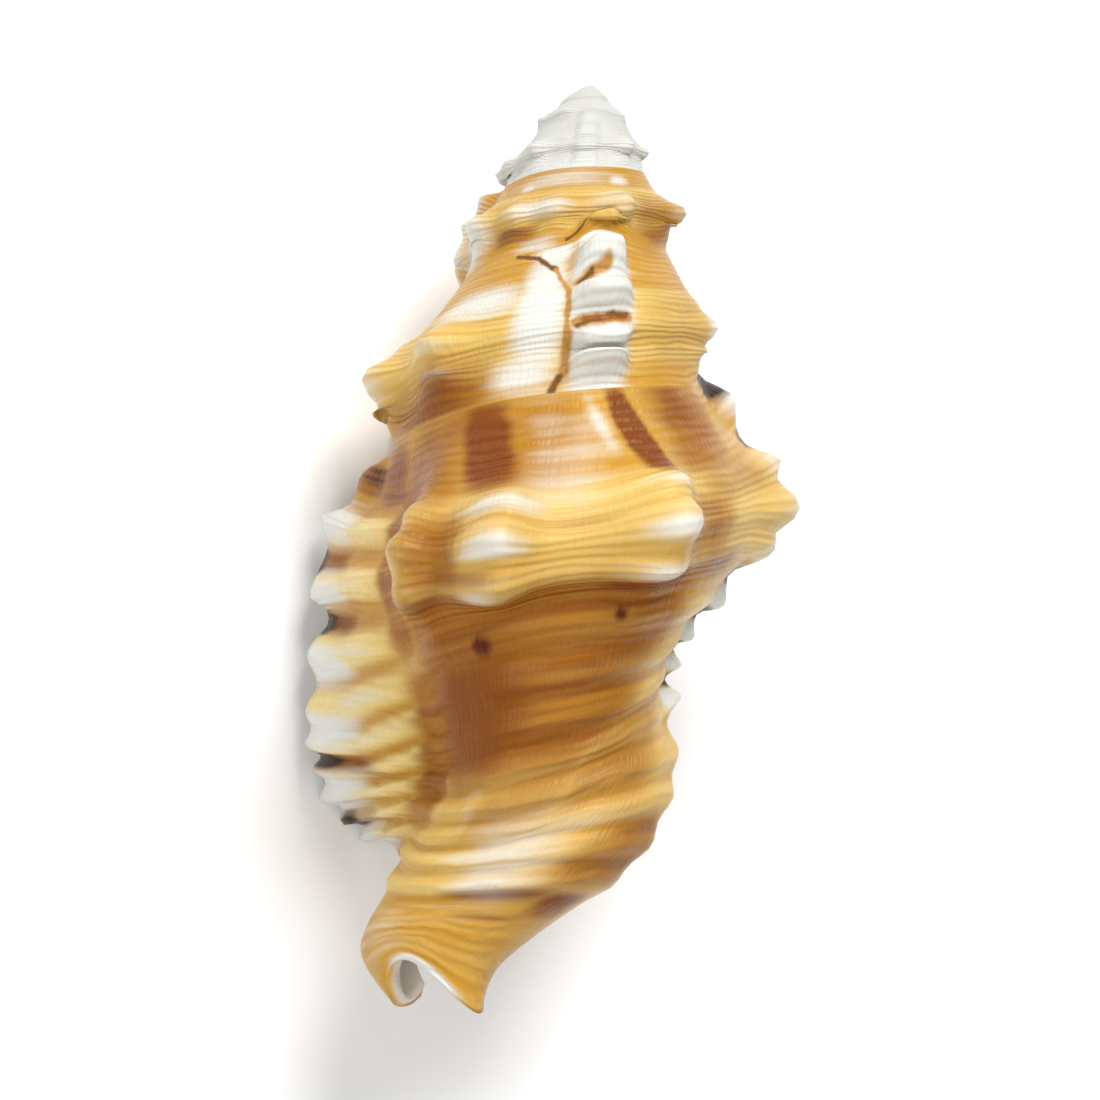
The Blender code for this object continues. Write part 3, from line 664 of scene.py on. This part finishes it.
# %% Node helpers
def add_node(tree, kind, settings=None, inputs=None):
    """Adds a node, sets its own settings, and fills or links its input sockets by name or number."""
    node = tree.nodes.new("ShaderNode" + kind)
    for name, value in (settings or {}).items():
        setattr(node, name, value)
    for key, value in (inputs or {}).items():
        if isinstance(value, bpy.types.NodeSocket):
            tree.links.new(value, node.inputs[key])
        else:
            node.inputs[key].default_value = value
    return node


def maths(tree, operation, first, second=0.0, third=0.0, clamp=False):
    """One Math node's result."""
    settings = {"operation": operation, "use_clamp": clamp}
    return add_node(tree, "Math", settings, {0: first, 1: second, 2: third}).outputs[0]


def vector_maths(tree, operation, first, second, result="Vector"):
    """One Vector Math node's result: its vector, or its value for a dot product or a distance."""
    return add_node(tree, "VectorMath", {"operation": operation}, {0: first, 1: second}).outputs[result]


def mix_colour(tree, factor, first, second):
    """The first colour where the factor is 0 and the second where it is 1."""
    inputs = {0: factor, 6: first, 7: second}
    return add_node(tree, "Mix", {"data_type": "RGBA"}, inputs).outputs[2]


def ramp_range(tree, value, low, high, to_low=0.0, to_high=1.0):
    """Carries a value from one range to another with smooth ends."""
    settings = {"interpolation_type": "SMOOTHSTEP"}
    inputs = {0: value, 1: low, 2: high, 3: to_low, 4: to_high}
    return add_node(tree, "MapRange", settings, inputs).outputs[0]


def new_group(name, inputs, outputs):
    """An empty node group with the sockets named, and its input and output nodes."""
    group = bpy.data.node_groups.new(name, "ShaderNodeTree")
    for label, kind, value in inputs:
        socket = group.interface.new_socket(label, in_out="INPUT", socket_type="NodeSocket" + kind)
        if value is not None:
            socket.default_value = value
    for label, kind in outputs:
        group.interface.new_socket(label, in_out="OUTPUT", socket_type="NodeSocket" + kind)
    return group, group.nodes.new("NodeGroupInput"), group.nodes.new("NodeGroupOutput")


print("node helpers ready")

# %% Threads, growth lines and strokes
MM_PER_DEGREE, MM_PER_ROW = 0.36, 5.0


def thread_group():
    """Threads: a sine of the row times the count, its phase drifting with noise. Streaks: noise drawn out along
    the spiral, hundreds of times finer across than along."""
    sockets = (("Growth Map", "Vector", None), ("Threads", "Float", 6.0), ("Streak Scale", "Float", 1.0))
    group, given, out = new_group("spiral threads", sockets, (("Height", "Float"), ("Streak", "Float")))
    parts = add_node(group, "SeparateXYZ", inputs={0: given.outputs[0]})
    turns, row = parts.outputs[0], maths(group, "MULTIPLY", parts.outputs[1], CANAL_TIP)
    drift_place = add_node(group, "CombineXYZ", inputs={0: maths(group, "MULTIPLY", turns, 9.0), 1: row})
    drift = add_node(group, "TexNoise", inputs={"Vector": drift_place.outputs[0], "Scale": 1.1, "Detail": 2.0})
    phase = maths(group, "MULTIPLY_ADD", row, given.outputs[1], maths(group, "MULTIPLY", drift.outputs[0], 2.2))
    wave = maths(group, "SINE", maths(group, "MULTIPLY", phase, 2 * math.pi))
    height = maths(group, "MULTIPLY_ADD", wave, 0.5, 0.5)
    streak_place = add_node(group, "CombineXYZ", inputs={
        0: maths(group, "MULTIPLY", turns, 4.0),
        1: maths(group, "MULTIPLY", maths(group, "MULTIPLY", row, 5.0), given.outputs[2]),
    })
    streak_inputs = {"Vector": streak_place.outputs[0], "Scale": 1.0, "Detail": 3.0}
    streak = add_node(group, "TexNoise", inputs=streak_inputs)
    group.links.new(height, out.inputs[0])
    group.links.new(ramp_range(group, streak.outputs[0], 0.36, 0.66), out.inputs[1])
    return group


def growth_line_group():
    """Growth lines: noise drawn out down the whorl, so each is a fine ridge across the spiral."""
    sockets = (("Growth Map", "Vector", None), ("Lines", "Float", 150.0))
    group, given, out = new_group("growth lines", sockets, (("Height", "Float"),))
    parts = add_node(group, "SeparateXYZ", inputs={0: given.outputs[0]})
    place = add_node(group, "CombineXYZ", inputs={
        0: maths(group, "MULTIPLY", parts.outputs[0], given.outputs[1]),
        1: maths(group, "MULTIPLY", parts.outputs[1], 26.0),
    })
    lines = add_node(group, "TexNoise", inputs={"Vector": place.outputs[0], "Scale": 1.0, "Detail": 2.0})
    group.links.new(ramp_range(group, lines.outputs[0], 0.3, 0.7), out.inputs[0])
    return group


def stroke_group():
    """A stroke: 1 within the half width of the segment from start to end, in degrees and rows brought to
    millimetres, with an edge as wide as the softness and a wander from noise."""
    sockets = (
        ("Growth Map", "Vector", None), ("Start", "Vector", None), ("End", "Vector", None),
        ("Half Width", "Float", 0.5), ("Softness", "Float", 0.3),
    )
    group, given, out = new_group("painted stroke", sockets, (("Mask", "Float"),))
    scale = (360 * MM_PER_DEGREE, CANAL_TIP * MM_PER_ROW, 0)
    to_mm = (MM_PER_DEGREE, MM_PER_ROW, 0)
    here = vector_maths(group, "MULTIPLY", given.outputs[0], scale)
    start = vector_maths(group, "MULTIPLY", given.outputs[1], to_mm)
    end = vector_maths(group, "MULTIPLY", given.outputs[2], to_mm)
    wander = add_node(group, "TexNoise", inputs={"Vector": here, "Scale": 0.6, "Detail": 2.0})
    offset = maths(group, "MULTIPLY_ADD", wander.outputs[0], 0.8, -0.4)
    reach = vector_maths(group, "SUBTRACT", end, start)
    from_start = vector_maths(group, "SUBTRACT", here, start)
    dot = vector_maths(group, "DOT_PRODUCT", from_start, reach, "Value")
    square = vector_maths(group, "DOT_PRODUCT", reach, reach, "Value")
    share = maths(group, "DIVIDE", dot, square, clamp=True)
    nearest = add_node(group, "VectorMath", {"operation": "SCALE"}, {0: reach, "Scale": share}).outputs[0]
    gap = vector_maths(group, "DISTANCE", from_start, nearest, "Value")
    gap = maths(group, "ADD", gap, offset)
    limit = maths(group, "ADD", given.outputs[3], given.outputs[4])
    group.links.new(ramp_range(group, gap, given.outputs[3], limit, 1.0, 0.0), out.inputs[0])
    return group


THREADS, GROWTH_LINES, STROKE = thread_group(), growth_line_group(), stroke_group()
print("groups:", THREADS.name, GROWTH_LINES.name, STROKE.name)

# %% [markdown]
# The colour is laid in the order the shell shows it: a golden tan ground with cream and orange streaks along
# the spiral, darker in the grooves between ribs, then the amber and brown fields, which hold the shell's own
# browns and also painted shade under the shoulder and beside the tubercles, the white knobs and beads, the
# near-black spots between them, and the thin brown lines at the white varix. The pale streaks above the
# shoulder carry a painted highlight. The old top of the spire is worn to a dull grey white.

# %% Shell colours
TAN = (0.60, 0.345, 0.052, 1)
CREAM = (0.78, 0.60, 0.22, 1)
ORANGE = (0.45, 0.205, 0.016, 1)
AMBER = (0.235, 0.060, 0.003, 1)
RED_BROWN = (0.175, 0.036, 0.003, 1)
WHITE = (0.69, 0.69, 0.64, 1)
NEAR_BLACK = (0.028, 0.008, 0.004, 1)
WORN_GREY = (0.61, 0.62, 0.59, 1)
LINE_BROWN = (0.16, 0.07, 0.02, 1)
LINE_TAN = (0.46, 0.23, 0.06, 1)
BAND_BROWN = (0.27, 0.085, 0.012, 1)
SPOT_RED = (0.10, 0.010, 0.002, 1)
MOUTH_WHITE = (0.84, 0.80, 0.72, 1)
MOUTH_ORANGE = (0.72, 0.36, 0.12, 1)

# Thin brown lines of the spire and the white front lip, the bands between its beads, and two spots of the base:
# start and end as growth angle and row, half width and soft edge in millimetres, colour
STROKES = (
    ((-823, 4.75), (-836, 4.3), 0.2, 0.45, LINE_BROWN), ((-836, 4.3), (-858, 4.05), 0.1, 0.45, LINE_BROWN),
    ((-437, 0.1), (-450, 0.35), 0.15, 0.4, LINE_BROWN), ((-450, 0.35), (-460, 0.9), 0.2, 0.45, LINE_BROWN),
    ((-460, 0.9), (-467, 1.8), 0.1, 0.5, LINE_TAN), ((-467, 1.8), (-468, 3.4), 0.15, 0.5, LINE_TAN),
    ((-468, 3.2), (-468, 4.5), 0.3, 0.7, LINE_TAN), ((-466, 4.6), (-464, 5.0), 0.25, 0.6, LINE_BROWN),
    ((-471, 1.6), (-482, 1.25), 0.4, 0.9, LINE_TAN), ((-471, 1.62), (-476, 1.42), 0.15, 0.5, LINE_BROWN),
    ((-471, 2.92), (-491, 2.82), 0.6, 0.8, LINE_TAN), ((-474, 2.88), (-490, 2.8), 0.25, 0.6, BAND_BROWN),
    ((-483, 2.74), (-491, 2.74), 0.1, 0.5, LINE_BROWN), ((-471, 3.05), (-479, 2.9), 0.1, 0.35, LINE_BROWN),
    ((-91, 5.36), (-89, 5.34), 0.15, 1.1, SPOT_RED), ((-131.5, 5.2), (-130.5, 5.18), 0.0, 0.9, SPOT_RED),
)


def shell_material():
    """Ground, streaks, fields, knobs, spots and lines mixed in that order into one glossy surface."""
    material = bpy.data.materials.new("shell_porcelain")
    material.use_nodes = True
    tree = material.node_tree
    surface = tree.nodes["Principled BSDF"]
    uv = add_node(tree, "UVMap", {"uv_map": "growth_map"}).outputs[0]
    mask = {name: add_node(tree, "Attribute", {"attribute_name": name}).outputs["Fac"] for name in masks}
    place = add_node(tree, "TexCoord").outputs["Object"]
    mottle = add_node(tree, "TexNoise", inputs={"Vector": place, "Scale": 90.0, "Detail": 3.0}).outputs[0]
    cloud = add_node(tree, "TexNoise", inputs={"Vector": place, "Scale": 38.0, "Detail": 2.0}).outputs[0]
    thread_inputs = {"Growth Map": uv, "Threads": 5.0, "Streak Scale": 1.0}
    threads = add_node(tree, "Group", {"node_tree": THREADS}, thread_inputs)
    streak = threads.outputs["Streak"]
    lines = add_node(tree, "Group", {"node_tree": GROWTH_LINES}, {"Growth Map": uv, "Lines": 260.0})

    ground = mix_colour(tree, streak, ORANGE, CREAM)
    ground = mix_colour(tree, 0.58, ground, TAN)
    ground = mix_colour(tree, ramp_range(tree, cloud, 0.42, 0.66, 0.0, 0.55), ground, ORANGE)
    groove_depth = maths(tree, "MULTIPLY_ADD", mask["lip_back"], 0.45, 0.45)
    groove = maths(tree, "MULTIPLY", maths(tree, "SUBTRACT", 1.0, mask["rib"]), groove_depth)
    ground = mix_colour(tree, groove, ground, ORANGE)
    rib_light = maths(tree, "MULTIPLY", mask["rib"], maths(tree, "MULTIPLY_ADD", mask["lip_back"], 0.5, 0.35))
    ground = mix_colour(tree, rib_light, ground, CREAM)

    def blotched(value, low, high, amount):
        """A mask whose edge is broken by the mottling and the threads."""
        broken = maths(tree, "MULTIPLY_ADD", maths(tree, "SUBTRACT", mottle, 0.5), amount, value)
        broken = maths(tree, "MULTIPLY_ADD", maths(tree, "SUBTRACT", streak, 0.5), amount * 0.4, broken)
        return ramp_range(tree, broken, low, high)

    # The amber field: the shell's orange brown with painted shade under the shoulder
    amber = maths(tree, "MULTIPLY", blotched(mask["amber"], 0.0, 0.85, 0.5), 0.92)
    amber_paint = mix_colour(tree, maths(tree, "MULTIPLY", streak, 0.5), AMBER, ORANGE)
    colour = mix_colour(tree, amber, ground, amber_paint)
    # The brown field: the shell's brown patches with painted shade around and below the knobs
    brown = maths(tree, "MULTIPLY", blotched(mask["brown"], 0.12, 0.9, 0.45), 0.94)
    colour = mix_colour(tree, brown, colour, RED_BROWN)
    # The white field: the shell's white, with a painted highlight in the pale streaks above the shoulder
    colour = mix_colour(tree, blotched(mask["white"], 0.1, 0.8, 0.35), colour, WHITE)
    colour = mix_colour(tree, blotched(mask["dark"], 0.2, 0.6, 0.4), colour, NEAR_BLACK)
    age = maths(tree, "MULTIPLY", mask["old_age"], 0.95)
    colour = mix_colour(tree, age, colour, WORN_GREY)
    for start, end, half, soft, paint in STROKES:
        inputs = {
            "Growth Map": uv, "Start": (start[0], start[1], 0), "End": (end[0], end[1], 0),
            "Half Width": half, "Softness": soft,
        }
        stroke = add_node(tree, "Group", {"node_tree": STROKE}, inputs)
        outside = maths(tree, "SUBTRACT", 1.0, mask["inside"])
        colour = mix_colour(tree, maths(tree, "MULTIPLY", stroke.outputs[0], outside), colour, paint)
    mouth = mix_colour(tree, ramp_range(tree, cloud, 0.45, 0.75, 0.0, 0.5), MOUTH_WHITE, MOUTH_ORANGE)
    colour = mix_colour(tree, ramp_range(tree, mask["inside"], 0.1, 0.9), colour, mouth)
    tree.links.new(colour, surface.inputs["Base Color"])

    rough = ramp_range(tree, mottle, 0.3, 0.7, 0.23, 0.40)
    rough = maths(tree, "MULTIPLY_ADD", mask["old_age"], 0.25, rough)
    tree.links.new(rough, surface.inputs["Roughness"])
    surface.inputs["Coat Weight"].default_value = 0.03
    surface.inputs["Coat Roughness"].default_value = 0.18
    surface.inputs["IOR"].default_value = 1.45
    surface.inputs["Specular IOR Level"].default_value = 0.22
    surface.inputs["Specular Tint"].default_value = (1.0, 0.8, 0.55, 1)

    fine = maths(tree, "MULTIPLY", threads.outputs["Height"], 0.9)
    fine = maths(tree, "MULTIPLY_ADD", lines.outputs[0], 0.4, fine)
    fine = maths(tree, "MULTIPLY_ADD", mottle, 0.25, fine)
    fade = maths(tree, "SUBTRACT", 1.0, maths(tree, "MULTIPLY", mask["inside"], 0.85))
    height = maths(tree, "MULTIPLY", fine, fade)
    relief_node = add_node(tree, "Bump", inputs={"Strength": 0.5, "Distance": 0.0003, "Height": height})
    tree.links.new(relief_node.outputs[0], surface.inputs["Normal"])
    return material


shell.data.materials.append(shell_material())
print("material nodes:", len(shell.data.materials[0].node_tree.nodes))

# %% [markdown]
# The photo is cut out on plain white, so the stage is only a pale floor under soft studio light. A large key
# light stands beyond the spire, which puts the shade under the shoulder where the photo has it, and weaker
# lights from the left and the front keep the shade open.

# %% Floor
def pale_floor(half_size=1.2):
    """A square floor at Z = 0 of four corner points."""
    mesh = bpy.data.meshes.new("pale_floor")
    s = half_size
    mesh.from_pydata([(-s, -s, 0), (s, -s, 0), (s, s, 0), (-s, s, 0)], [], [(0, 1, 2, 3)])
    floor = bpy.data.objects.new("pale_floor", mesh)
    bpy.context.scene.collection.objects.link(floor)
    paint = bpy.data.materials.new("pale_paint")
    paint.use_nodes = True
    surface = paint.node_tree.nodes["Principled BSDF"]
    surface.inputs["Base Color"].default_value = (0.92, 0.92, 0.92, 1)
    surface.inputs["Roughness"].default_value = 0.9
    surface.inputs["Specular IOR Level"].default_value = 0.1
    mesh.materials.append(paint)
    return floor


floor = pale_floor()
print("floor spans", round(floor.dimensions.x, 2), "m")

# %% Lights
def soft_light(name, place, target, size, power, tint=(1, 1, 1)):
    """A square area light at a place, turned to face the target."""
    lamp = bpy.data.lights.new(name, "AREA")
    lamp.size, lamp.energy, lamp.color = size, power, tint
    holder = bpy.data.objects.new(name, lamp)
    holder.location = place
    holder.rotation_euler = (Vector(target) - Vector(place)).to_track_quat("-Z", "Y").to_euler()
    bpy.context.scene.collection.objects.link(holder)
    return holder


MIDDLE = (0, 0, 0.02)
# Painted shade in the amber and brown fields deepens the shade this key light gives under the shoulder
soft_light("key", (0.0, 0.44, 0.50), MIDDLE, 0.32, 4.6)
soft_light("fill_left", (-0.5, -0.25, 0.5), MIDDLE, 0.5, 2.2)
soft_light("fill_front", (0.15, -0.5, 0.5), MIDDLE, 0.5, 1.5)
world = bpy.data.worlds.new("studio")
bpy.context.scene.world = world
world.use_nodes = True
world.node_tree.nodes["Background"].inputs["Color"].default_value = (1, 1, 1, 1)
world.node_tree.nodes["Background"].inputs["Strength"].default_value = 0.3

# %% [markdown]
# The camera looks down on the shell's back from the photograph's side. In the picture the shell's axis leans
# 5.2 degrees and its canal end tips 7 degrees away. At this picture scale the tip of the spire falls on its
# photo place.

# %% Camera
PHOTO_SIZE = 1100
PIXELS_PER_MM = 7.7
APEX_PIXEL = (590, 85)
LEAN_IN_PICTURE, TIP_AWAY = 5.2, 7.0
LENS, SENSOR = 100.0, 36.0


def photo_camera():
    """A camera fixed in the growth frame, brought along by the lying-down matrix."""
    lean = Matrix.Rotation(math.radians(-LEAN_IN_PICTURE), 4, "Z")
    turn = lean @ Matrix.Rotation(math.radians(-TIP_AWAY), 4, "X")
    data = bpy.data.cameras.new("photo_view")
    data.lens, data.sensor_width = LENS, SENSOR
    data.clip_start, data.clip_end = 0.01, 20.0
    distance = LENS / SENSOR * PHOTO_SIZE / PIXELS_PER_MM
    x = (PHOTO_SIZE / 2 - APEX_PIXEL[0]) / PIXELS_PER_MM
    y = (APEX_PIXEL[1] - PHOTO_SIZE / 2) / PIXELS_PER_MM
    camera = bpy.data.objects.new("photo_view", data)
    place = LIE @ turn.inverted() @ Matrix.Translation((x, y, distance))
    camera.matrix_world = Matrix.LocRotScale(place.to_translation(), place.to_quaternion(), (1, 1, 1))
    bpy.context.scene.collection.objects.link(camera)
    return camera


bpy.context.scene.camera = photo_camera()
bpy.context.scene.view_settings.view_transform = "Standard"
print("camera height in metres:", round(bpy.context.scene.camera.location.z, 3))

# %% Join to the frame and finish
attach(shell, "root")
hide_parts("conch_shell")
